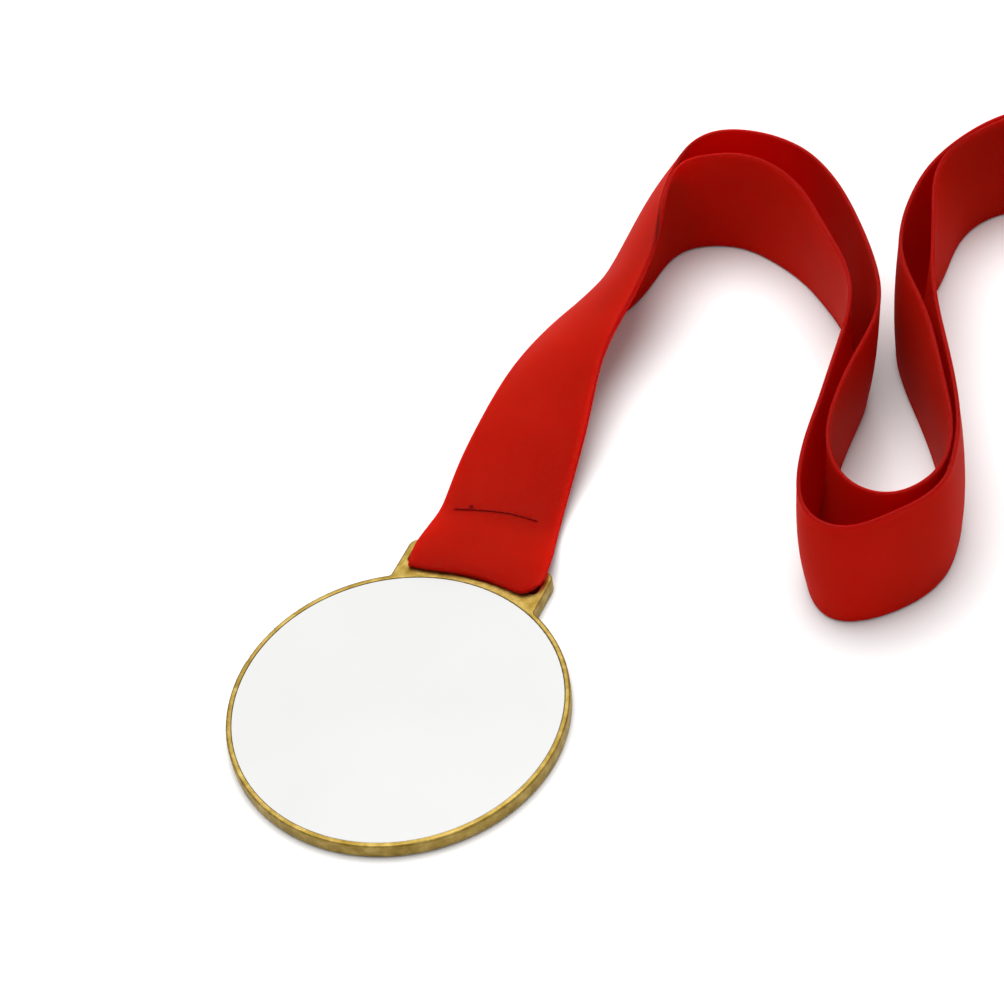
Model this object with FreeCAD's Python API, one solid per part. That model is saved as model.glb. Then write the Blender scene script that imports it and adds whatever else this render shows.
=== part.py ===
import FreeCAD, Part

# Blank award medal on its neck ribbon, millimetres.
# The casting lies on its back with its centre at the origin and +Z out of its front face.
# +Y points from the centre towards the lug that carries the ribbon.
# The ribbon is one woven strip: it passes through the lug's slot, its two strands are sewn
# together above the bar, and they run side by side, standing on edge, to the fold at the neck.

import math
import os

Vector = FreeCAD.Vector

# Casting
disc_radius = 31.0
disc_thickness = 3.0
rim_width = 1.0
rim_round = 0.42
rim_inner_round = 0.15
back_round = 0.3
recess_depth = 1.2

# Insert and the adhesive pad behind it
insert_gap = 0.05
insert_thickness = 0.9
insert_round = 0.1
adhesive_radius = 28.5
adhesive_thickness = 0.15

# Lug: two arms that carry the bar, with the slot between bar and disc
lug_half_width = 14.6
lug_reach = 37.2
lug_corner_round = 2.0
notch_round = 0.8
slot_half_width = 13.1
slot_start = 31.35
slot_edge_round = 0.4
slot_corner_round = 1.0
slot_pocket = 4.0
bar_depth = 2.4
bar_height = 1.8
bar_round = 0.8
bar_height_centre = 2.0

# Ribbon
ribbon_width = 25.4
ribbon_thickness = 0.6
ribbon_side_shift = -0.2
loop_tip = 31.9
sewn_end = 50.0
sewn_length = 3.6
neck_gap = 5.4
corner_share = 0.45

# Seam: a bar tack across the two sewn layers
seam_start = (-10.5, 46.9)
seam_end = (5.7, 48.7)
seam_width = 0.5
seam_height = 0.3

# Ribbon edges where each strand turns from lying flat to standing: (left edge, right edge)
outer_twist_edges = [
    ((-15.6, 66.0, 1.0), (8.6, 66.0, 7.6)),
    ((-16.0, 80.0, 1.0), (6.1, 80.0, 12.2)),
    ((-14.0, 95.5, 1.0), (6.3, 95.0, 16.0)),
    ((-9.4, 109.0, 0.8), (6.7, 108.6, 20.0)),
    ((-8.3, 120.5, 0.6), (4.1, 120.2, 22.2)),
    ((-6.2, 131.5, 0.4), (4.0, 129.8, 23.6)),
]
inner_twist_edges = [
    ((-15.0, 66.0, 0.4), (8.8, 66.0, 5.8)),
    ((-14.4, 80.0, 0.4), (6.4, 80.0, 10.6)),
    ((-7.4, 95.5, 0.4), (7.8, 95.0, 16.0)),
    ((-2.2, 104.0, 0.4), (8.6, 104.0, 19.4)),
    ((0.4, 112.0, 0.3), (7.8, 112.0, 22.4)),
    ((1.4, 121.0, 0.3), (5.9, 121.0, 24.8)),
]

# Routes of the standing strands, seen from above
outer_route = [
    (4.2, 137.0), (16.8, 141.0), (28.6, 137.2), (38.8, 127.0), (47.0, 114.6), (54.6, 100.2),
    (54.6, 84.0), (55.8, 68.0), (61.4, 56.4), (70.2, 52.6), (77.9, 58.4), (79.4, 69.4),
    (73.4, 84.0), (63.4, 98.6), (54.5, 112.2), (51.6, 127.8), (52.0, 141.6), (57.6, 154.6),
    (68.8, 162.6), (82.0, 163.8), (94.0, 158.6), (103.0, 148.0), (108.4, 135.4), (111.0, 126.0),
]
inner_route = [
    (5.6, 128.0), (13.5, 132.0), (24.5, 129.6), (36.2, 120.6), (46.8, 107.8), (52.4, 91.5),
    (52.9, 75.0), (55.0, 58.8), (60.2, 47.0), (68.4, 43.8), (77.8, 52.6), (82.2, 67.0),
    (76.3, 82.2), (67.5, 97.0), (60.0, 112.2), (55.8, 127.6), (53.9, 141.6), (59.4, 153.2),
    (70.5, 158.6), (81.5, 159.4), (91.0, 155.0), (98.8, 146.2),
]
# Each strand is cut into nodes halfway along these runs
strand_names = ["first_arch", "turn", "second_arch", "neck_run"]
route_cuts = [5, 12, 17]


def save(shape, name):
    """Writes one solid as the node's STEP file."""
    shape.exportStep("parts/" + name + ".step")
    print(name, "valid", shape.isValid(), "volume", round(shape.Volume, 1))


def top_edges(shape, height, keep):
    """Edges of a shape that lie wholly at one height and whose midpoint passes the test."""
    found = []
    for edge in shape.Edges:
        middle = edge.valueAt((edge.FirstParameter + edge.LastParameter) / 2)
        box = edge.BoundBox
        level = abs(box.ZMin - height) < 1e-6 and abs(box.ZMax - height) < 1e-6
        if level and keep(middle):
            found.append(edge)
    return found


def upright_edges(shape, keep):
    """Vertical edges whose midpoint passes the test."""
    found = []
    for edge in shape.Edges:
        box = edge.BoundBox
        if box.XLength < 1e-6 and box.YLength < 1e-6 and keep(box.Center):
            found.append(edge)
    return found


def casting_body():
    """Disc and lug arms as one plate, rounded along its outline."""
    disc = Part.makeCylinder(disc_radius, disc_thickness)
    tab = Part.makeBox(
        2 * lug_half_width, lug_reach, disc_thickness, Vector(-lug_half_width, 0, 0)
    )
    plate = disc.fuse(tab).removeSplitter()
    notches = upright_edges(plate, lambda p: p.y > 0 and p.y < slot_start)
    plate = plate.makeFillet(notch_round, notches)
    corners = upright_edges(plate, lambda p: p.y > lug_reach - 0.1)
    plate = plate.makeFillet(lug_corner_round, corners)
    outline_top = top_edges(plate, disc_thickness, lambda p: True)
    plate = plate.makeFillet(rim_round, outline_top)
    outline_back = top_edges(plate, 0.0, lambda p: True)
    return plate.makeFillet(back_round, outline_back)


def cut_slot(body):
    """Ribbon slot with rounded corners and a rounded edge at the disc, open at its far side."""
    corner = Vector(-slot_half_width, slot_start, 0)
    pocket = Part.makeBox(2 * slot_half_width, slot_pocket, disc_thickness, corner)
    pocket = pocket.makeFillet(slot_corner_round, upright_edges(pocket, lambda p: True))
    body = body.cut(pocket)
    on_pocket = lambda p: p.y > slot_start - 0.01 and abs(p.x) < slot_half_width + 0.01
    inside = lambda p: on_pocket(p) and p.y < slot_start + slot_pocket + 0.01
    body = body.makeFillet(slot_edge_round, top_edges(body, disc_thickness, inside))
    past_corner = corner + Vector(0, 1.5 * slot_corner_round, 0)
    return body.cut(Part.makeBox(2 * slot_half_width, lug_reach, disc_thickness, past_corner))


def casting():
    """Casting with the recess for the insert, the ribbon slot and the bar."""
    body = casting_body()
    recess_floor = disc_thickness - recess_depth
    recess_radius = disc_radius - rim_width
    recess = Part.makeCylinder(recess_radius, recess_depth, Vector(0, 0, recess_floor))
    body = body.cut(recess)
    on_recess = lambda p: abs(math.hypot(p.x, p.y) - recess_radius) < 0.01
    body = body.makeFillet(rim_inner_round, top_edges(body, disc_thickness, on_recess))
    body = cut_slot(body)
    bar_start = lug_reach - bar_depth
    bar = Part.makeBox(
        2 * slot_half_width + 1.0,
        bar_depth,
        bar_height,
        Vector(-slot_half_width - 0.5, bar_start, bar_height_centre - bar_height / 2),
    )
    long_edges = [e for e in bar.Edges if e.BoundBox.XLength > slot_half_width]
    return body.fuse(bar.makeFillet(bar_round, long_edges)).removeSplitter()


def insert_disc():
    """Coated insert, let into the front recess a little below the rim."""
    floor = disc_thickness - recess_depth + adhesive_thickness
    radius = disc_radius - rim_width - insert_gap
    disc = Part.makeCylinder(radius, insert_thickness, Vector(0, 0, floor))
    return disc.makeFillet(insert_round, top_edges(disc, floor + insert_thickness, lambda p: True))


def adhesive_pad():
    """Thin adhesive disc between the recess floor and the insert."""
    floor = Vector(0, 0, disc_thickness - recess_depth)
    return Part.makeCylinder(adhesive_radius, adhesive_thickness, floor)


def edges_of(points):
    """Straight edges through (y, z) points, at the ribbon's left edge."""
    x = ribbon_side_shift - ribbon_width / 2
    places = [Vector(x, y, z) for y, z in points]
    return [Part.makeLine(a, b) for a, b in zip(places[:-1], places[1:])]


def sewn_loop():
    """Ribbon round the bar: a long loop whose two layers close together at the seam."""
    t = ribbon_thickness
    outer_r = bar_height_centre
    inner_r = outer_r - t
    turn_y = loop_tip + outer_r
    slope_start = lug_reach + 0.2
    slope_end = sewn_end - sewn_length
    x = ribbon_side_shift - ribbon_width / 2
    loops = []
    for r, first, last in (
        (outer_r, [(sewn_end, 0.0)], [(slope_start, 2 * outer_r), (slope_end, 2 * t), (sewn_end, 2 * t)]),
        (inner_r, [(slope_end - 0.1, t)], [(slope_start - 0.1, 2 * outer_r - t), (slope_end - 0.1, t)]),
    ):
        low = outer_r - r
        high = outer_r + r
        lower = edges_of(first + [(turn_y, low)])
        bend = Part.Arc(
            Vector(x, turn_y, low), Vector(x, turn_y - r, outer_r), Vector(x, turn_y, high)
        ).toShape()
        upper = edges_of([(turn_y, high)] + last)
        closing = edges_of([last[-1], first[0]]) if last[-1] != first[0] else []
        loops.append(Part.Wire(lower + [bend] + upper + closing))
    profile = Part.Face(loops[0]).cut(Part.Face(loops[1]))
    return profile.extrude(Vector(ribbon_width, 0, 0)).Solids[0]


def seam():
    """Bar tack that holds the two layers together."""
    run = Vector(seam_end[0] - seam_start[0], seam_end[1] - seam_start[1], 0)
    bar = Part.makeBox(run.Length, seam_width, seam_height)
    bar.rotate(Vector(0, 0, 0), Vector(0, 0, 1), math.degrees(math.atan2(run.y, run.x)))
    bar.translate(Vector(seam_start[0], seam_start[1], 2 * ribbon_thickness))
    return bar


def section(left, right, forward):
    """Thin rectangle across the ribbon, from its left edge to its right edge."""
    left = Vector(*left)
    right = Vector(*right)
    face_normal = (right - left).cross(forward).normalize() * (ribbon_thickness / 2)
    corners = [left - face_normal, right - face_normal, right + face_normal, left + face_normal]
    return Part.makePolygon(corners + corners[:1])


def twist(edges, layer_height, route):
    """Strand between the sewn end and its standing route, as ruled stretches between sections."""
    half = ribbon_width / 2
    first = (
        (ribbon_side_shift - half, sewn_end, layer_height),
        (ribbon_side_shift + half, sewn_end, layer_height),
    )
    start = route[0]
    last = ((start[0], start[1], 0.0), (start[0], start[1], ribbon_width))
    stations = [first] + edges + [last]
    middles = [(Vector(*a) + Vector(*b)) * 0.5 for a, b in stations]
    wires = []
    for i, (left, right) in enumerate(stations):
        if i == 0:
            forward = Vector(0, 1, 0)
        elif i == len(stations) - 1:
            forward = Vector(route[1][0] - start[0], route[1][1] - start[1], 0)
        else:
            forward = middles[i + 1] - middles[i - 1]
        wires.append(section(left, right, forward))
    return Part.makeLoft(wires, True, True)


def rounded(route):
    """Runs and tangent arcs along a route: a list of ("line", a, b) and ("arc", a, b, centre)."""
    points = [Vector(x, y, 0) for x, y in route]
    pieces = []
    radii = []
    begin = points[0]
    for before, corner, after in zip(points[:-2], points[1:-1], points[2:]):
        into = corner - before
        out = after - corner
        shorter = min(into.Length, out.Length)
        into.normalize()
        out.normalize()
        turn = into.getAngle(out)
        reach = corner_share * shorter
        radius = reach / math.tan(turn / 2)
        radii.append(round(radius, 1))
        side = 1 if into.cross(out).z > 0 else -1
        first = corner - into * reach
        second = corner + out * reach
        centre = first + Vector(-into.y, into.x, 0) * (side * radius)
        pieces.append(("line", begin, first))
        pieces.append(("arc", first, second, centre))
        begin = second
    pieces.append(("line", begin, points[-1]))
    print("bend radii", radii)
    return pieces


def split(pieces, cuts):
    """Cuts a rounded route halfway along the numbered runs."""
    parts = [[]]
    for i, piece in enumerate(pieces):
        if piece[0] == "line" and i // 2 in cuts:
            middle = (piece[1] + piece[2]) * 0.5
            parts[-1].append(("line", piece[1], middle))
            parts.append([("line", middle, piece[2])])
        else:
            parts[-1].append(piece)
    return parts


def outline_edge(piece, offset):
    """One run or arc of a route, moved sideways; positive is to the left of travel."""
    a, b = piece[1], piece[2]
    if piece[0] == "line":
        along = (b - a).normalize()
        aside = Vector(-along.y, along.x, 0) * offset
        return Part.makeLine(a + aside, b + aside)
    centre = piece[3]
    from_a = a - centre
    from_b = b - centre
    side = 1 if from_a.cross(from_b).z > 0 else -1
    radius = from_a.Length - side * offset
    middle = (from_a + from_b).normalize() * radius
    return Part.Arc(
        centre + from_a.normalize() * radius, centre + middle, centre + from_b.normalize() * radius
    ).toShape()


def standing_strip(pieces):
    """Upright strip of ribbon along a rounded route."""
    half = ribbon_thickness / 2
    left = [outline_edge(p, half) for p in pieces]
    right = [outline_edge(p, -half) for p in pieces]
    start_line = Part.makeLine(right[0].Vertexes[0].Point, left[0].Vertexes[0].Point)
    end_line = Part.makeLine(left[-1].Vertexes[-1].Point, right[-1].Vertexes[-1].Point)
    edges = Part.sortEdges(left + [end_line] + right + [start_line])[0]
    face = Part.Face(Part.Wire(edges))
    return face.extrude(Vector(0, 0, ribbon_width))


def strand(name, route):
    """Standing part of one strand, cut into its nodes."""
    for part_name, pieces in zip(strand_names, split(rounded(route), route_cuts)):
        save(standing_strip(pieces), name + "_" + part_name)


def neck_fold(end, along):
    """Half-round fold at the neck that joins the outer strand's end to the inner strand's."""
    across = Vector(along.y, -along.x, 0)
    centre = end + across * (neck_gap / 2)
    arc = ("arc", end, centre + along * (neck_gap / 2), centre)
    arc_back = ("arc", centre + along * (neck_gap / 2), end + across * neck_gap, centre)
    return standing_strip([arc, arc_back])


os.makedirs("parts", exist_ok=True)
save(casting(), "medal_casting")
save(insert_disc(), "coated_insert")
save(adhesive_pad(), "adhesive_pad")
save(sewn_loop(), "ribbon_sewn_loop")
save(seam(), "seam_thread")

neck_end = Vector(*outer_route[-1], 0)
neck_along = (neck_end - Vector(*outer_route[-2], 0)).normalize()
inner_end = neck_end + Vector(neck_along.y, -neck_along.x, 0) * neck_gap
inner_before = inner_end - neck_along * 9.0
inner_full = inner_route + [(inner_before.x, inner_before.y), (inner_end.x, inner_end.y)]

save(twist(outer_twist_edges, 1.5 * ribbon_thickness, outer_route), "ribbon_outer_twist")
save(twist(inner_twist_edges, 0.5 * ribbon_thickness, inner_full), "ribbon_inner_twist")
strand("ribbon_outer", outer_route)
strand("ribbon_inner", inner_full)
save(neck_fold(neck_end, neck_along), "ribbon_neck_fold")
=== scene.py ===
import math

import bpy
import numpy as np
from mathutils import Matrix, Vector


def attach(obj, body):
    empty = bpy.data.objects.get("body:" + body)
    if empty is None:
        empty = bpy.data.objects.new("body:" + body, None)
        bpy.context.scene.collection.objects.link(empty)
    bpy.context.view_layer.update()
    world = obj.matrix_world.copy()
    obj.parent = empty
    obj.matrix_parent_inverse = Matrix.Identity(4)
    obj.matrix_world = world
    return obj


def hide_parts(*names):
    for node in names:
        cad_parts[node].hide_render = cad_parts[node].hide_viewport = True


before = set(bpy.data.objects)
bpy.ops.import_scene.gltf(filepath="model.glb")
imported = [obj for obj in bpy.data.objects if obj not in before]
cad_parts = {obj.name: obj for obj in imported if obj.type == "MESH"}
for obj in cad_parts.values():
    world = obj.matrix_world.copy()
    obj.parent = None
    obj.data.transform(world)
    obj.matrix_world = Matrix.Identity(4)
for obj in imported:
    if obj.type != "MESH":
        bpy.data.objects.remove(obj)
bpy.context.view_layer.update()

# ---------------------------------------------------------------------------------------------
# Sizes in millimetres, in the part's own frame. Objects are made in metres.
MM = 0.001
RIBBON_WIDTH = 25.4
BODY_THICKNESS = 0.65
SELVEDGE_THICKNESS = 0.75
# Distances from the edge between which the selvedge's thickness goes over to the body's
SELVEDGE_END = (1.0, 1.4)
# Run of the rounding at the very edge
EDGE_ROUND = 0.25
# Shares of the width that have points: close together at the edge, then evenly to the other side
EDGE_SHARES = [0.0, 0.002, 0.008, 0.022, 0.036, 0.05, 0.062]
MIDDLE_START = 0.09
MIDDLE_POINTS = 18
# Share of its thickness that the sewn part near the lug keeps. It is pressed thin up to a y of
# PRESSED_END_Y - PRESSED_RUN_Y, and full from PRESSED_END_Y on.
PRESSED_SHARE = 0.65
PRESSED_END_Y = 60.0
PRESSED_RUN_Y = 12.0
PRESSED_REACH_X = 20.0
# Height of the top edge where the ribbon stands on edge
TOP = RIBBON_WIDTH

# Rows of the mesh between two stations, and the share of the rounding that is made up for
ROWS_PER_SPAN = 7
SPLINE_PUSH = 0.8

# Slow ripples along the ribbon that tip its two halves: (height, millimetres per radian, phase)
RIPPLES = [(0.06, 9.0, 0.7), (0.036, 3.7, 0.0)]

# Pitches of the weave: the weft ribs and the warp threads
RIB_PITCH = 0.42
WARP_PITCH = 0.55
# Distances from the middle line at which the selvedge's painted highlight and the edge's painted shade
# start and are full
SELVEDGE_HIGHLIGHT_BAND = (11.2, 11.7)
EDGE_SHADE_BAND = (12.25, 12.6)

# Each station is (left or bottom edge, right or top edge, bow), from the medal outwards.
# A positive bow bulges away from the other strand.
OUTER_STRAND = [
    ((-12.8, 37.5, 3.9), (13.4, 37.5, 4.0), 0.0),
    ((-12.9, 41.0, 3.1), (12.5, 41.2, 3.1), 0.1),
    ((-13.2, 44.5, 2.0), (11.3, 45.0, 2.1), 0.1),
    ((-13.6, 48.5, 1.4), (10.2, 49.5, 1.7), 0.2),
    ((-15.0, 57.5, 1.4), (9.0, 58.6, 4.2), 0.5),
    ((-15.8, 68.2, 1.3), (8.1, 68.9, 8.4), 0.7),
    ((-16.1, 79.4, 1.1), (6.1, 79.8, 12.0), 0.9),
    ((-15.5, 88.0, 0.9), (5.7, 88.6, 14.4), 1.0),
    ((-13.9, 96.4, 0.7), (6.4, 95.6, 16.0), 1.0),
    ((-11.6, 104.0, 0.5), (6.9, 103.4, 18.4), 1.0),
    ((-9.4, 109.2, 0.4), (6.7, 108.8, 20.0), 1.0),
    ((-8.5, 114.6, 0.3), (5.3, 114.4, 21.3), 1.0),
    ((-8.4, 121.0, 0.2), (4.0, 120.8, 22.2), 1.0),
    ((-8.0, 127.4, 0.1), (3.6, 126.8, 22.8), 1.0),
    ((-5.4, 133.2, 0.0), (4.3, 131.4, 23.8), 1.0),
    ((-0.6, 137.4, 0.0), (6.1, 134.3, 24.7), 1.0),
    ((4.6, 140.0, 0.0), (8.8, 136.4, 25.2), 0.9),
    ((10.6, 140.9, 0.0), (12.6, 137.7, TOP), 0.8),
    ((16.8, 140.6, 0.0), (17.4, 138.2, TOP), 0.8),
    ((22.8, 139.2, 0.0), (22.4, 137.6, TOP), 0.8),
    ((28.4, 136.6, 0.0), (27.6, 135.8, TOP), 0.8),
    ((32.6, 131.6, 0.0), (32.8, 132.3, TOP), 0.8),
    ((37.0, 126.0, 0.0), (38.2, 127.2, TOP), 0.8),
    ((40.7, 119.9, 0.0), (43.3, 121.0, TOP), 0.8),
    ((43.5, 113.9, 0.0), (47.7, 115.0, TOP), 0.8),
    ((46.9, 108.7, 0.0), (51.3, 109.4, TOP), 0.8),
    ((50.3, 103.2, 0.0), (54.3, 103.6, TOP), 0.7),
    ((52.8, 97.2, 0.0), (56.0, 97.4, TOP), 0.6),
    ((53.2, 90.6, 0.0), (56.2, 90.6, TOP), 0.6),
    ((53.5, 83.6, 0.0), (55.9, 83.4, TOP), 0.6),
    ((54.1, 76.0, 0.0), (56.2, 75.6, TOP), 0.6),
    ((54.6, 69.2, 0.0), (57.1, 69.0, TOP), 0.6),
    ((55.7, 62.4, 0.0), (59.0, 63.4, TOP), 0.6),
    ((59.3, 56.6, 0.0), (62.2, 58.6, TOP), 0.8),
    ((64.6, 53.2, 0.0), (66.5, 55.6, TOP), 0.9),
    ((70.8, 53.2, 0.0), (71.5, 55.0, TOP), 0.9),
    ((75.4, 56.4, 0.0), (75.7, 57.0, TOP), 0.9),
    ((78.5, 61.8, 0.0), (78.8, 61.6, TOP), 0.8),
    ((78.9, 68.0, 0.0), (79.7, 67.2, TOP), 0.8),
    ((77.0, 74.8, 0.0), (78.2, 74.3, TOP), 0.8),
    ((73.4, 81.6, 0.0), (75.1, 81.0, TOP), 0.8),
    ((69.6, 88.0, 0.0), (71.6, 87.6, TOP), 0.8),
    ((65.4, 94.2, 0.0), (68.1, 94.2, TOP), 0.8),
    ((61.2, 100.0, 0.0), (64.4, 100.4, TOP), 0.8),
    ((57.4, 105.6, 0.0), (60.2, 106.1, TOP), 0.8),
    ((54.4, 111.2, 0.0), (56.4, 111.3, TOP), 0.8),
    ((53.2, 116.9, 0.0), (53.8, 116.8, TOP), 0.8),
    ((53.9, 123.2, 0.0), (52.3, 123.0, TOP), 0.8),
    ((54.1, 129.8, 0.0), (51.7, 129.4, TOP), 0.8),
    ((53.4, 136.6, 0.0), (51.9, 136.2, TOP), 0.8),
    ((53.6, 142.8, 0.0), (53.2, 142.2, TOP), 0.8),
    ((54.6, 149.2, 0.0), (55.5, 147.8, TOP), 0.8),
    ((57.0, 154.6, 0.0), (58.7, 153.2, TOP), 0.8),
    ((62.2, 159.2, 0.0), (63.2, 157.9, TOP), 0.8),
    ((69.2, 162.4, 0.0), (69.8, 161.4, TOP), 0.8),
    ((77.6, 163.6, 0.0), (77.8, 162.9, TOP), 0.8),
    ((86.5, 162.5, 0.0), (86.2, 161.8, TOP), 0.8),
    ((95.0, 157.4, 0.0), (94.6, 157.0, TOP), 0.8),
    ((102.0, 149.4, 0.0), (101.8, 149.2, TOP), 0.8),
    ((107.2, 139.4, 0.0), (107.1, 139.3, TOP), 0.8),
    ((110.0, 130.6, 0.0), (110.0, 130.6, TOP), 0.6),
]
INNER_STRAND = [
    ((-12.7, 37.5, 0.35), (12.0, 37.5, 0.35), 0.0),
    ((-12.9, 41.0, 0.4), (11.2, 41.2, 0.4), 0.0),
    ((-13.2, 44.5, 0.45), (10.2, 44.8, 0.45), 0.0),
    ((-13.7, 48.5, 0.5), (9.4, 49.2, 0.7), 0.0),
    ((-14.9, 57.5, 0.5), (8.4, 58.6, 3.0), -0.3),
    ((-15.5, 68.2, 0.5), (7.4, 68.9, 7.0), -0.6),
    ((-15.0, 79.6, 0.5), (5.6, 79.8, 10.6), -1.0),
    ((-11.8, 88.6, 0.5), (5.2, 88.4, 12.8), -1.9),
    ((-7.2, 96.2, 0.4), (6.0, 95.4, 14.6), -3.0),
    ((-2.8, 103.0, 0.4), (6.7, 103.2, 17.4), -3.4),
    ((0.0, 109.6, 0.4), (6.7, 109.2, 19.8), -3.0),
    ((0.9, 116.0, 0.3), (5.6, 115.4, 22.0), -2.0),
    ((1.5, 122.4, 0.2), (4.7, 121.6, 24.0), -1.0),
    ((3.6, 127.2, 0.1), (5.8, 126.3, 25.2), 0.0),
    ((7.8, 130.0, 0.0), (9.4, 129.0, 25.3), 0.6),
    ((13.0, 131.2, 0.0), (13.6, 130.8, TOP), 0.8),
    ((18.4, 130.6, 0.0), (18.6, 131.2, TOP), 0.8),
    ((24.8, 128.1, 0.0), (24.4, 129.4, TOP), 0.8),
    ((30.8, 124.8, 0.0), (30.2, 125.7, TOP), 0.8),
    ((36.6, 120.0, 0.0), (35.6, 120.0, TOP), 0.8),
    ((41.8, 115.1, 0.0), (40.8, 114.0, TOP), 0.8),
    ((46.0, 109.2, 0.0), (45.8, 108.2, TOP), 0.8),
    ((49.5, 102.2, 0.0), (49.3, 101.8, TOP), 0.8),
    ((51.2, 94.8, 0.0), (51.1, 94.8, TOP), 0.7),
    ((52.0, 87.4, 0.0), (52.1, 87.4, TOP), 0.6),
    ((52.7, 79.8, 0.0), (53.0, 79.6, TOP), 0.4),
    ((53.4, 73.2, 0.0), (53.8, 73.0, TOP), 0.4),
    ((54.2, 66.6, 0.0), (54.4, 66.2, TOP), 0.4),
    ((55.6, 60.0, 0.0), (55.4, 59.8, TOP), 0.6),
    ((57.4, 53.6, 0.0), (57.1, 53.4, TOP), 0.8),
    ((60.6, 48.2, 0.0), (60.2, 47.8, TOP), 0.9),
    ((65.2, 45.2, 0.0), (65.1, 45.3, TOP), 0.9),
    ((70.4, 46.6, 0.0), (70.3, 46.4, TOP), 0.8),
    ((75.2, 50.5, 0.0), (74.7, 50.8, TOP), 0.8),
    ((79.0, 55.6, 0.0), (79.0, 56.0, TOP), 0.8),
    ((80.9, 61.4, 0.0), (81.1, 61.2, TOP), 0.8),
    ((80.7, 67.4, 0.0), (80.95, 66.7, TOP), 0.8),
    ((79.4, 74.4, 0.0), (79.35, 74.4, TOP), 0.8),
    ((75.8, 82.0, 0.0), (76.3, 82.2, TOP), 0.8),
    ((71.4, 89.8, 0.0), (72.4, 90.1, TOP), 0.8),
    ((66.8, 96.8, 0.0), (68.6, 97.2, TOP), 0.7),
    ((62.6, 103.8, 0.0), (65.0, 104.2, TOP), 0.6),
    ((58.4, 111.0, 0.0), (62.1, 111.2, TOP), 0.5),
    ((56.1, 118.4, 0.0), (59.6, 118.6, TOP), 0.5),
    ((55.1, 125.4, 0.0), (57.3, 125.6, TOP), 0.5),
    ((55.6, 132.0, 0.0), (55.2, 131.8, TOP), 0.6),
    ((55.3, 138.4, 0.0), (53.9, 137.6, TOP), 0.8),
    ((55.2, 144.0, 0.0), (54.3, 143.4, TOP), 0.8),
    ((56.4, 149.6, 0.0), (56.5, 148.2, TOP), 0.6),
    ((59.8, 154.6, 0.0), (59.6, 152.9, TOP), 0.4),
    ((65.0, 157.8, 0.0), (64.2, 157.2, TOP), 0.3),
    ((71.4, 159.2, 0.0), (70.6, 160.3, TOP), 0.2),
    ((78.6, 159.3, 0.0), (78.4, 161.4, TOP), 0.2),
    ((86.2, 157.4, 0.0), (86.2, 159.6, TOP), 0.4),
    ((92.8, 152.8, 0.0), (93.2, 154.6, TOP), 0.6),
    ((98.2, 146.4, 0.0), (98.2, 146.4, TOP), 0.8),
    ((102.2, 137.4, 0.0), (102.2, 137.4, TOP), 0.8),
    ((104.6, 129.4, 0.0), (104.6, 129.4, TOP), 0.6),
]
# The fold at the neck, seen from above
NECK_FOLD = [(110.9, 125.4), (110.4, 123.2), (108.6, 122.0), (106.6, 122.6), (105.6, 124.8)]
# The loop round the lug's bar, as (left edge, right edge, y, z)
BAR_LOOP = [
    (-12.8, 12.3, 34.8, 0.35),
    (-12.8, 12.4, 33.0, 0.45),
    (-12.7, 12.4, 32.1, 1.2),
    (-12.6, 12.3, 31.7, 2.2),
    (-12.2, 12.9, 30.9, 3.5),
    (-12.0, 13.5, 30.8, 4.2),
    (-12.4, 13.9, 32.6, 4.6),
    (-12.7, 13.9, 35.2, 4.4),
]
# How far the fold's front edge wavers, and the share of the width at which it reaches out most.
# The waver starts at a y and a height, and grows over a run towards the disc and upwards.
FOLD_SWAY = 0.7
SWAY_PEAK = 0.03
SWAY_START_Y = 33.5
SWAY_RUN_Y = 2.0
SWAY_START_HEIGHT = 2.6
SWAY_RUN_HEIGHT = 1.0
# How far the fold's right corner is drawn back towards the bar, which rounds it. It starts at a
# share of the width, and at a y from which it grows over a run towards the disc.
CORNER_TUCK = 2.4
CORNER_START = 0.88
CORNER_START_Y = 34.0
CORNER_RUN_Y = 3.2

# The seam across the two sewn layers, just above the lug, as (x, y), and its thread's height
SEAM_HEIGHT = 2.04
SEAM = [(-10.5, 46.6), (-8.2, 47.3), (-5.8, 47.8), (-3.0, 48.4), (0.0, 48.8), (3.0, 48.8), (5.7, 48.6)]
STITCH_COUNT = 13
STITCH_HALF_LENGTH = 0.72
STITCH_RISE = 0.14
STITCH_POINTS = 9
THREAD_RADIUS = 0.2
THREAD_SIDES = 8
PLY_PITCH = 0.25
# The knot: its share along the seam, its loops' radius, offset, height and rise
KNOT_SHARE = 0.21
KNOT_RADIUS = 0.36
KNOT_OFFSET = 0.5
KNOT_HEIGHT = 0.25
KNOT_RISE = 0.12
KNOT_LOOPS = 2
KNOT_POINTS = 13

# The camera, fitted to the photograph: its place, then its turn, tip and roll in degrees
CAMERA_PLACE = (203.3, -276.0, 415.5)
CAMERA_TURN = 32.2
CAMERA_TIP = 90.0 - 46.93
CAMERA_ROLL = -10.64
CAMERA_LENS = 107.92
CAMERA_SENSOR = 36.0

# Studio, in metres and watts
SKY_STRENGTH = 0.56
OVERHEAD_PLACE = (-0.10, 0.25, 1.1)
OVERHEAD_TARGET = (0.03, 0.07, 0.0)
OVERHEAD_SIZE = 0.9
OVERHEAD_POWER = 14.0
FLOOR_HALF = 6.0
FLOOR_DROP = 0.0002


# ---------------------------------------------------------------------------------------------
# Node helpers
def new_material(name):
    """A new material, its node tree, and the shader that the tree starts with."""
    material = bpy.data.materials.new(name)
    material.use_nodes = True
    tree = material.node_tree
    shader = next(n for n in tree.nodes if n.type == "BSDF_PRINCIPLED")
    return material, tree, shader


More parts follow.
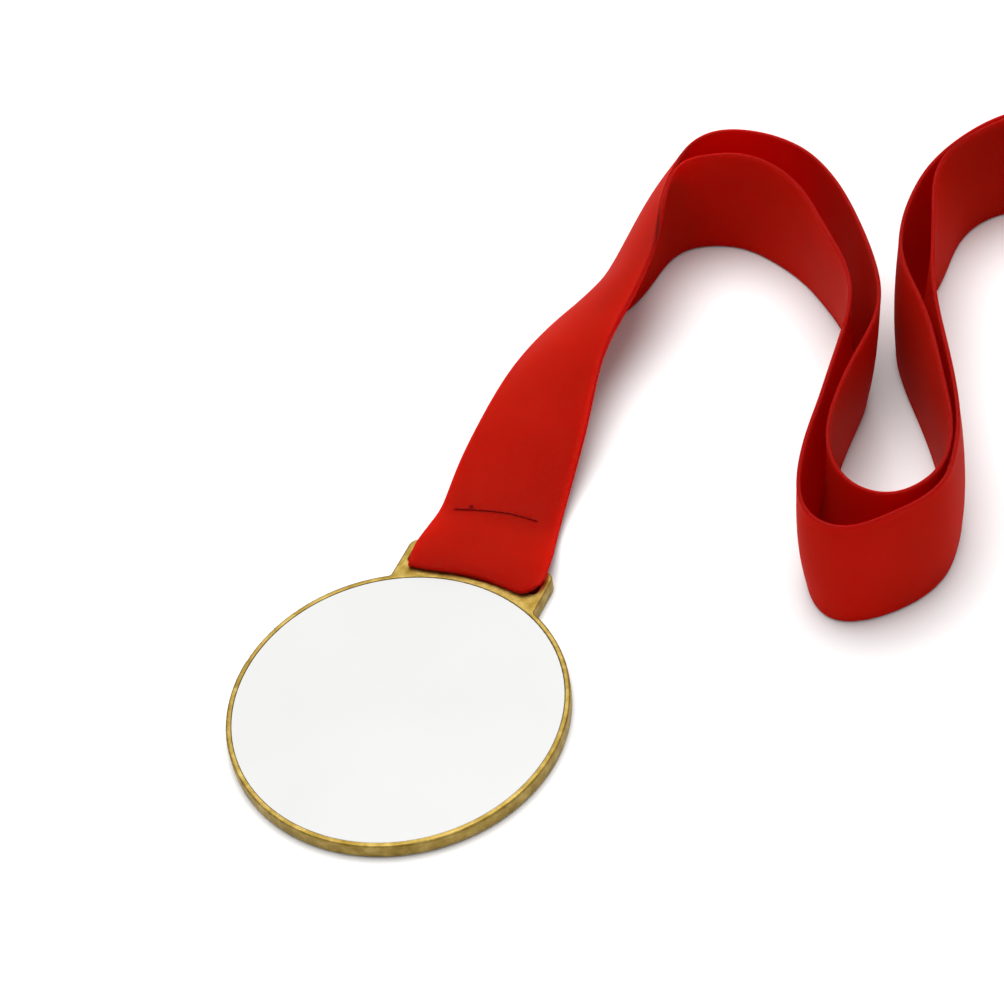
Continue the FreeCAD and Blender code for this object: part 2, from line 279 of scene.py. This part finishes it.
def node(tree, kind, inputs=None, **settings):
    """Adds a node. An input's value is a constant or another node's output."""
    made = tree.nodes.new(kind)
    for key, value in settings.items():
        setattr(made, key, value)
    for key, value in (inputs or {}).items():
        if isinstance(value, bpy.types.NodeSocket):
            tree.links.new(value, made.inputs[key])
        else:
            made.inputs[key].default_value = value
    return made


def ramp(tree, value, stops):
    """Colour ramp from (position, colour) pairs."""
    made = node(tree, "ShaderNodeValToRGB", {"Fac": value})
    elements = made.color_ramp.elements
    while len(elements) < len(stops):
        elements.new(1.0)
    for element, (position, colour) in zip(elements, stops):
        element.position = position
        element.color = (*colour, 1.0)
    return made.outputs["Color"]


def maths(tree, operation, *values):
    """Result of a maths node. A value is a number or another node's output."""
    made = node(tree, "ShaderNodeMath", operation=operation)
    for socket, value in zip(made.inputs, values):
        if isinstance(value, bpy.types.NodeSocket):
            tree.links.new(value, socket)
        else:
            socket.default_value = value
    return made.outputs[0]


def mix(tree, factor, a, b):
    """Colour between a and b. Each is a colour or another node's output."""
    made = node(tree, "ShaderNodeMixRGB", {"Fac": factor})
    for key, value in (("Color1", a), ("Color2", b)):
        if isinstance(value, bpy.types.NodeSocket):
            tree.links.new(value, made.inputs[key])
        else:
            made.inputs[key].default_value = (*value, 1.0)
    return made.outputs["Color"]


def noise(tree, where, scale, detail=3.0, roughness=0.5):
    """Noise from 0 to 1. The scale is in cells per metre."""
    made = node(
        tree,
        "ShaderNodeTexNoise",
        {"Vector": where, "Scale": scale, "Detail": detail, "Roughness": roughness},
    )
    return made.outputs["Fac"]


def spread(tree, value, start, end):
    """A value from 0 to 1 made to run from start to end."""
    made = node(tree, "ShaderNodeMapRange", {"Value": value, "To Min": start, "To Max": end})
    return made.outputs["Result"]


def band(tree, value, start, end):
    """Smooth step from 0 to 1 between start and end."""
    made = node(
        tree,
        "ShaderNodeMapRange",
        {"Value": value, "From Min": start, "From Max": end},
        interpolation_type="SMOOTHSTEP",
    )
    return made.outputs["Result"]


def wave(tree, value, pitch):
    """Sine of a value that repeats once per pitch."""
    return maths(tree, "SINE", maths(tree, "MULTIPLY", value, 2 * math.pi / pitch))


def blend(tree, a, share_a, b, share_b):
    """Sum of two values, each times its share."""
    first = maths(tree, "MULTIPLY", a, share_a)
    return maths(tree, "ADD", first, maths(tree, "MULTIPLY", b, share_b))


def object_space(tree):
    """Place on the piece, in metres."""
    return node(tree, "ShaderNodeTexCoord").outputs["Object"]


def add_bump(tree, shader, height, strength, distance):
    """Bumps on the shader's normal. The distance is the bumps' height in metres."""
    made = node(
        tree, "ShaderNodeBump", {"Height": height, "Strength": strength, "Distance": distance}
    )
    tree.links.new(made.outputs["Normal"], shader.inputs["Normal"])


# ---------------------------------------------------------------------------------------------
# Materials
def ribbon_material():
    """Ribbed polyester weave: weft ribs across, warp threads along, painted highlight on the selvedge
    and painted shade on the edges.
    """
    material, tree, shader = new_material("woven_red_ribbon")
    uv = node(tree, "ShaderNodeUVMap", uv_map="weave").outputs["UV"]
    parts = node(tree, "ShaderNodeSeparateXYZ", {"Vector": uv})
    across, along = parts.outputs["X"], parts.outputs["Y"]
    where = object_space(tree)

    ribs = wave(tree, along, RIB_PITCH)
    threads = wave(tree, across, WARP_PITCH)
    grain = maths(tree, "MULTIPLY", ribs, threads)
    weave = blend(tree, ribs, 0.7, grain, 0.3)

    offset = maths(tree, "SUBTRACT", across, RIBBON_WIDTH / 2)
    from_middle = maths(tree, "ABSOLUTE", offset)
    # Painted highlight: the selvedge band is made paler, standing in for the light that the thicker
    # edge catches
    selvedge_highlight = band(tree, from_middle, *SELVEDGE_HIGHLIGHT_BAND)
    # Painted shade: the outermost edge of the ribbon is darkened into a dark outline
    edge_shade = band(tree, from_middle, *EDGE_SHADE_BAND)

    clouds = noise(tree, where, 70.0, 4.0, 0.6)
    fine = noise(tree, where, 900.0, 2.0)
    colour = ramp(tree, clouds, [(0.3, (0.330, 0.0056, 0.0018)), (0.7, (0.380, 0.0072, 0.0026))])
    thread_tone = maths(tree, "ADD", 0.5, maths(tree, "MULTIPLY", weave, 0.5))
    layers = [
        (thread_tone, 0.14, (0.49, 0.010, 0.004)),
        (fine, 0.10, (0.30, 0.003, 0.003)),
        # painted highlight on the selvedge
        (selvedge_highlight, 0.08, (0.44, 0.014, 0.010)),
        # painted shade along the very edges
        (edge_shade, 0.85, (0.19, 0.006, 0.005)),
    ]
    for mask, strength, tint in layers:
        colour = mix(tree, maths(tree, "MULTIPLY", mask, strength), colour, tint)
    tree.links.new(colour, shader.inputs["Base Color"])

    tree.links.new(spread(tree, clouds, 0.52, 0.66), shader.inputs["Roughness"])
    shader.inputs["Specular IOR Level"].default_value = 0.01
    # Red light passes through the thin fabric, the other colours hardly do
    shader.inputs["Subsurface Weight"].default_value = 1.0
    shader.inputs["Subsurface Radius"].default_value = (1.0, 0.03, 0.02)
    shader.inputs["Subsurface Scale"].default_value = 0.0045
    add_bump(tree, shader, blend(tree, weave, 0.5, fine, 0.4), 0.35, 0.00006)
    return material


def gold_material():
    """Satin gold plate: cast mottling, fine pits, and lighter wear along the edges."""
    material, tree, shader = new_material("satin_gold_plate")
    where = object_space(tree)
    clouds = noise(tree, where, 420.0, 4.0, 0.6)
    pits = noise(tree, where, 1400.0, 3.0)
    tones = [(0.3, (0.19, 0.120, 0.016)), (0.5, (0.30, 0.205, 0.045)), (0.7, (0.45, 0.33, 0.10))]
    colour = ramp(tree, clouds, tones)
    edges = node(tree, "ShaderNodeNewGeometry").outputs["Pointiness"]
    worn = node(
        tree, "ShaderNodeMapRange", {"Value": edges, "From Min": 0.5, "From Max": 0.6}
    ).outputs["Result"]
    colour = mix(tree, maths(tree, "MULTIPLY", worn, 0.25), colour, (0.55, 0.39, 0.12))
    tree.links.new(colour, shader.inputs["Base Color"])
    shader.inputs["Metallic"].default_value = 1.0
    tree.links.new(spread(tree, clouds, 0.44, 0.60), shader.inputs["Roughness"])
    add_bump(tree, shader, blend(tree, clouds, 0.6, pits, 0.4), 0.35, 0.0002)
    return material


def insert_material():
    """White print coating with a faint orange-peel surface."""
    material, tree, shader = new_material("white_print_coating")
    where = object_space(tree)
    clouds = noise(tree, where, 40.0)
    peel = noise(tree, where, 900.0, 2.0)
    colour = ramp(tree, clouds, [(0.3, (0.572, 0.575, 0.567)), (0.7, (0.592, 0.595, 0.587))])
    tree.links.new(colour, shader.inputs["Base Color"])
    tree.links.new(spread(tree, peel, 0.30, 0.42), shader.inputs["Roughness"])
    add_bump(tree, shader, peel, 0.06, 0.0001)
    return material


def adhesive_material():
    """Milky adhesive film."""
    material, tree, shader = new_material("milky_adhesive")
    clouds = noise(tree, object_space(tree), 300.0)
    colour = ramp(tree, clouds, [(0.3, (0.66, 0.65, 0.58)), (0.7, (0.74, 0.73, 0.68))])
    tree.links.new(colour, shader.inputs["Base Color"])
    shader.inputs["Roughness"].default_value = 0.6
    return material


def thread_material():
    """Dark red sewing thread with its ply showing as fine slanted ridges."""
    material, tree, shader = new_material("sewing_thread")
    parts = node(tree, "ShaderNodeSeparateXYZ", {"Vector": object_space(tree)})
    slanted = maths(tree, "ADD", parts.outputs["X"], parts.outputs["Y"])
    ply = wave(tree, slanted, PLY_PITCH * MM)
    tone = maths(tree, "ADD", 0.5, maths(tree, "MULTIPLY", ply, 0.5))
    colour = ramp(tree, tone, [(0.0, (0.15, 0.0035, 0.0028)), (1.0, (0.25, 0.006, 0.0045))])
    tree.links.new(colour, shader.inputs["Base Color"])
    shader.inputs["Roughness"].default_value = 0.8
    shader.inputs["Specular IOR Level"].default_value = 0.03
    add_bump(tree, shader, tone, 0.4, 0.00004)
    return material


def floor_material():
    """Plain pale studio floor."""
    material, tree, shader = new_material("pale_floor")
    clouds = noise(tree, object_space(tree), 3.0, 2.0)
    colour = ramp(tree, clouds, [(0.3, (0.88, 0.88, 0.88)), (0.7, (0.90, 0.90, 0.90))])
    tree.links.new(colour, shader.inputs["Base Color"])
    shader.inputs["Roughness"].default_value = 0.9
    shader.inputs["Specular IOR Level"].default_value = 0.0
    return material


# ---------------------------------------------------------------------------------------------
# Meshes
def new_mesh(name, places, faces):
    """Smooth-shaded mesh from places in metres."""
    mesh = bpy.data.meshes.new(name)
    mesh.from_pydata([tuple(place) for place in places], [], faces)
    mesh.polygons.foreach_set("use_smooth", [True] * len(faces))
    mesh.update()
    return mesh


def add_object(name, mesh, material):
    """Puts a mesh with its material in the scene."""
    made = bpy.data.objects.new(name, mesh)
    bpy.context.scene.collection.objects.link(made)
    made.data.materials.append(material)
    return made


# ---------------------------------------------------------------------------------------------
# Ribbon
def closed_spline(stations):
    """Smooth closed curve close to an array of stations, as rows of the same width.

    It is a uniform cubic B-spline. Its control points are first pushed outwards by most of what
    the spline would round off, so that tight bends keep their size.
    """
    before = np.roll(stations, 1, axis=0)
    after = np.roll(stations, -1, axis=0)
    control = stations - SPLINE_PUSH * (before - 2 * stations + after) / 6
    p0 = np.roll(control, 1, axis=0)
    p2 = np.roll(control, -1, axis=0)
    p3 = np.roll(control, -2, axis=0)
    rows = []
    for t in np.arange(ROWS_PER_SPAN) / ROWS_PER_SPAN:
        w0 = (1 - t) ** 3 / 6
        w1 = (3 * t**3 - 6 * t**2 + 4) / 6
        w2 = (-3 * t**3 + 3 * t**2 + 3 * t + 1) / 6
        w3 = t**3 / 6
        rows.append(w0 * p0 + w1 * control + w2 * p2 + w3 * p3)
    return np.stack(rows, axis=1).reshape(-1, stations.shape[1])


def ribbon_stations():
    """The whole loop: out along the outer strand, round the neck, back, and round the bar."""
    outer = [(*low, *high, bow) for low, high, bow in OUTER_STRAND]
    inner = [(*low, *high, bow) for low, high, bow in reversed(INNER_STRAND)]
    neck = [(x, y, 0.0, x, y, TOP, 0.3) for x, y in NECK_FOLD]
    loop = [(left, y, z, right, y, z, 0.0) for left, right, y, z in BAR_LOOP]
    return np.array(outer + neck + inner + loop)


def section_points():
    """Around one cross-section: (share of the width, side, thickness)."""
    start, end = SELVEDGE_END
    middle = list(np.linspace(MIDDLE_START, 1 - MIDDLE_START, MIDDLE_POINTS))
    shares = EDGE_SHARES + middle + [1 - u for u in reversed(EDGE_SHARES)]
    points = []
    for side, order in ((1, shares), (-1, shares[::-1][1:-1])):
        for u in order:
            edge = min(u, 1 - u) * RIBBON_WIDTH
            rounding = math.sqrt(1 - max(0.0, 1 - edge / EDGE_ROUND) ** 2)
            step = min(1.0, max(0.0, (edge - start) / (end - start)))
            thickness = SELVEDGE_THICKNESS + (BODY_THICKNESS - SELVEDGE_THICKNESS) * step
            points.append((u, side, thickness * rounding))
    return points


def eased(values, run):
    """Values over a run, kept between 0 and 1."""
    return np.clip(values / run, 0.0, 1.0)


def ribbon_points():
    """Points of the strip as (row, point of the section), and each row's distance along it."""
    rows = closed_spline(ribbon_stations())
    low, high, bow = rows[:, 0:3], rows[:, 3:6], rows[:, 6]
    low[:, 2] = np.maximum(low[:, 2], 0.0)
    middle = (low + high) / 2
    along = np.roll(middle, -1, axis=0) - np.roll(middle, 1, axis=0)
    width = high - low
    out = np.cross(width, along)
    out /= np.linalg.norm(out, axis=1)[:, None]
    steps = np.linalg.norm(np.roll(middle, -1, axis=0) - middle, axis=1)
    distance = np.concatenate([[0.0], np.cumsum(steps)])
    ripple = sum(size * np.sin(distance[:-1] / run + phase) for size, run, phase in RIPPLES)

    y, z = middle[:, 1], middle[:, 2]
    pressed = eased(PRESSED_END_Y - y, PRESSED_RUN_Y) * (np.abs(middle[:, 0]) < PRESSED_REACH_X)
    fullness = 1 - (1 - PRESSED_SHARE) * pressed
    overhang = eased(SWAY_START_Y - y, SWAY_RUN_Y) * eased(z - SWAY_START_HEIGHT, SWAY_RUN_HEIGHT)
    near_disc = eased(CORNER_START_Y - y, CORNER_RUN_Y)

    points = []
    for u, side, thickness in section_points():
        crown = 4 * u * (1 - u)
        lift = bow * crown + ripple * math.sin(2 * math.pi * u)
        lift += side * thickness * fullness / 2
        corner = max(0.0, (u - CORNER_START) / (1 - CORNER_START)) ** 2
        back = CORNER_TUCK * corner * near_disc
        back -= FOLD_SWAY * math.cos(2 * math.pi * (u - SWAY_PEAK)) * overhang
        place = low + width * u + out * lift[:, None]
        place[:, 1] += back
        points.append(place)
    return np.stack(points, axis=1) * MM, distance


def ribbon():
    """One woven strip, closed into a loop by its seam."""
    points, distance = ribbon_points()
    count, around = points.shape[:2]
    shares = [point[0] for point in section_points()]
    faces = []
    weave = []
    for i in range(count):
        j = (i + 1) % count
        for k in range(around):
            m = (k + 1) % around
            faces.append((i * around + k, i * around + m, j * around + m, j * around + k))
            u0, u1 = shares[k] * RIBBON_WIDTH, shares[m] * RIBBON_WIDTH
            v0, v1 = distance[i], distance[i + 1]
            weave += [u0, v0, u1, v0, u1, v1, u0, v1]
    mesh = new_mesh("woven_ribbon", points.reshape(-1, 3), faces)
    mesh.uv_layers.new(name="weave").data.foreach_set("uv", weave)
    return mesh


# ---------------------------------------------------------------------------------------------
# Seam thread
def tube(path, first):
    """Closed thread with rounded ends along a short path of points.

    Its faces count their vertices from first.
    """
    vertices = []
    faces = []
    count = len(path)
    sides = THREAD_SIDES
    for i, point in enumerate(path):
        ahead = path[min(i + 1, count - 1)]
        behind = path[max(i - 1, 0)]
        forward = (Vector(ahead) - Vector(behind)).normalized()
        side = forward.cross(Vector((0, 0, 1))).normalized()
        up = side.cross(forward)
        # Thin at both ends, full in the middle
        taper = math.sin(math.pi * (i + 0.35) / (count - 0.3)) ** 0.5
        for k in range(sides):
            angle = 2 * math.pi * k / sides
            offset = side * math.cos(angle) + up * math.sin(angle)
            vertices.append(Vector(point) + offset * THREAD_RADIUS * taper)
    for i in range(count - 1):
        for k in range(sides):
            m = (k + 1) % sides
            faces.append((i * sides + k, i * sides + m, (i + 1) * sides + m, (i + 1) * sides + k))
    faces.append(tuple(range(sides))[::-1])
    faces.append(tuple(range((count - 1) * sides, count * sides)))
    return vertices, [tuple(first + i for i in face) for face in faces]


def seam_place(share):
    """Point and heading on the seam's line."""
    spot = share * (len(SEAM) - 1)
    i = min(int(spot), len(SEAM) - 2)
    a, b = Vector(SEAM[i]), Vector(SEAM[i + 1])
    return a.lerp(b, spot - i), (b - a).normalized()


def stitch_path(share):
    """One short stitch that sinks at both ends."""
    place, heading = seam_place(share)
    path = []
    for t in np.linspace(-1, 1, STITCH_POINTS):
        along = place + heading * (t * STITCH_HALF_LENGTH)
        path.append((along.x, along.y, SEAM_HEIGHT + STITCH_RISE * (1 - t * t)))
    return path


def knot_path(turn):
    """One loop of the thread's knot, which starts at an angle in radians."""
    place = seam_place(KNOT_SHARE)[0]
    path = []
    for t in np.linspace(0, 1, KNOT_POINTS):
        angle = 2 * math.pi * t + turn
        x = place.x + KNOT_RADIUS * math.cos(angle)
        y = place.y + KNOT_OFFSET + KNOT_RADIUS * math.sin(angle)
        path.append((x, y, SEAM_HEIGHT + KNOT_HEIGHT + KNOT_RISE * math.sin(2 * angle + turn)))
    return path


def seam_stitches():
    """Row of short stitches, with the thread's knot near the left end."""
    paths = [stitch_path((s + 0.5) / STITCH_COUNT) for s in range(STITCH_COUNT)]
    paths += [knot_path(turn) for turn in range(KNOT_LOOPS)]
    vertices = []
    faces = []
    for path in paths:
        new_vertices, new_faces = tube(path, len(vertices))
        vertices += new_vertices
        faces += new_faces
    return new_mesh("seam_stitches", [v * MM for v in vertices], faces)


# ---------------------------------------------------------------------------------------------
# Camera, floor and light
def camera():
    """The photograph's view: from above the medal's right, turned and tipped."""
    data = bpy.data.cameras.new("view")
    data.sensor_width = CAMERA_SENSOR
    data.lens = CAMERA_LENS
    data.clip_start = 0.01
    made = bpy.data.objects.new("view", data)
    bpy.context.scene.collection.objects.link(made)
    turn = Matrix.Rotation(math.radians(CAMERA_TURN), 4, "Z")
    tip = Matrix.Rotation(math.radians(CAMERA_TIP), 4, "X")
    roll = Matrix.Rotation(math.radians(CAMERA_ROLL), 4, "Z")
    made.matrix_world = Matrix.Translation(Vector(CAMERA_PLACE) * MM) @ turn @ tip @ roll
    bpy.context.scene.camera = made


def overhead_light():
    """One large round soft light."""
    data = bpy.data.lights.new("overhead", "AREA")
    data.shape = "DISK"
    data.size = OVERHEAD_SIZE
    data.energy = OVERHEAD_POWER
    made = bpy.data.objects.new("overhead", data)
    made.location = Vector(OVERHEAD_PLACE)
    aim = Vector(OVERHEAD_TARGET) - Vector(OVERHEAD_PLACE)
    made.rotation_euler = aim.to_track_quat("-Z", "Y").to_euler()
    bpy.context.scene.collection.objects.link(made)


def sky():
    """White sky that is dimmer towards the horizon."""
    world = bpy.data.worlds.new("studio")
    world.use_nodes = True
    tree = world.node_tree
    background = next(n for n in tree.nodes if n.type == "BACKGROUND")
    direction = node(tree, "ShaderNodeTexCoord").outputs["Generated"]
    height = node(tree, "ShaderNodeSeparateXYZ", {"Vector": direction}).outputs["Z"]
    colour = ramp(tree, height, [(0.0, (0.7, 0.7, 0.7)), (0.6, (1.0, 1.0, 1.0))])
    tree.links.new(colour, background.inputs["Color"])
    background.inputs["Strength"].default_value = SKY_STRENGTH
    bpy.context.scene.world = world


def floor():
    """Large flat floor just below the medal's back."""
    mesh = bpy.data.meshes.new("floor")
    corners = [(-1, -1), (1, -1), (1, 1), (-1, 1)]
    places = [(x * FLOOR_HALF, y * FLOOR_HALF, -FLOOR_DROP) for x, y in corners]
    mesh.from_pydata(places, [], [(0, 1, 2, 3)])
    made = add_object("floor", mesh, floor_material())


# ---------------------------------------------------------------------------------------------
bpy.context.scene.view_settings.view_transform = "Standard"
camera()
sky()
overhead_light()
floor()

looks = {
    "medal_casting": gold_material(),
    "coated_insert": insert_material(),
    "adhesive_pad": adhesive_material(),
}
for name, material in looks.items():
    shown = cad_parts[name]
    shown.data.materials.clear()
    shown.data.materials.append(material)

woven = add_object("woven_ribbon", ribbon(), ribbon_material())
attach(woven, "ribbon")
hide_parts(*[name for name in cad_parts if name.startswith("ribbon_")])

stitches = add_object("seam_stitches", seam_stitches(), thread_material())
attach(stitches, "ribbon")
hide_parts("seam_thread")
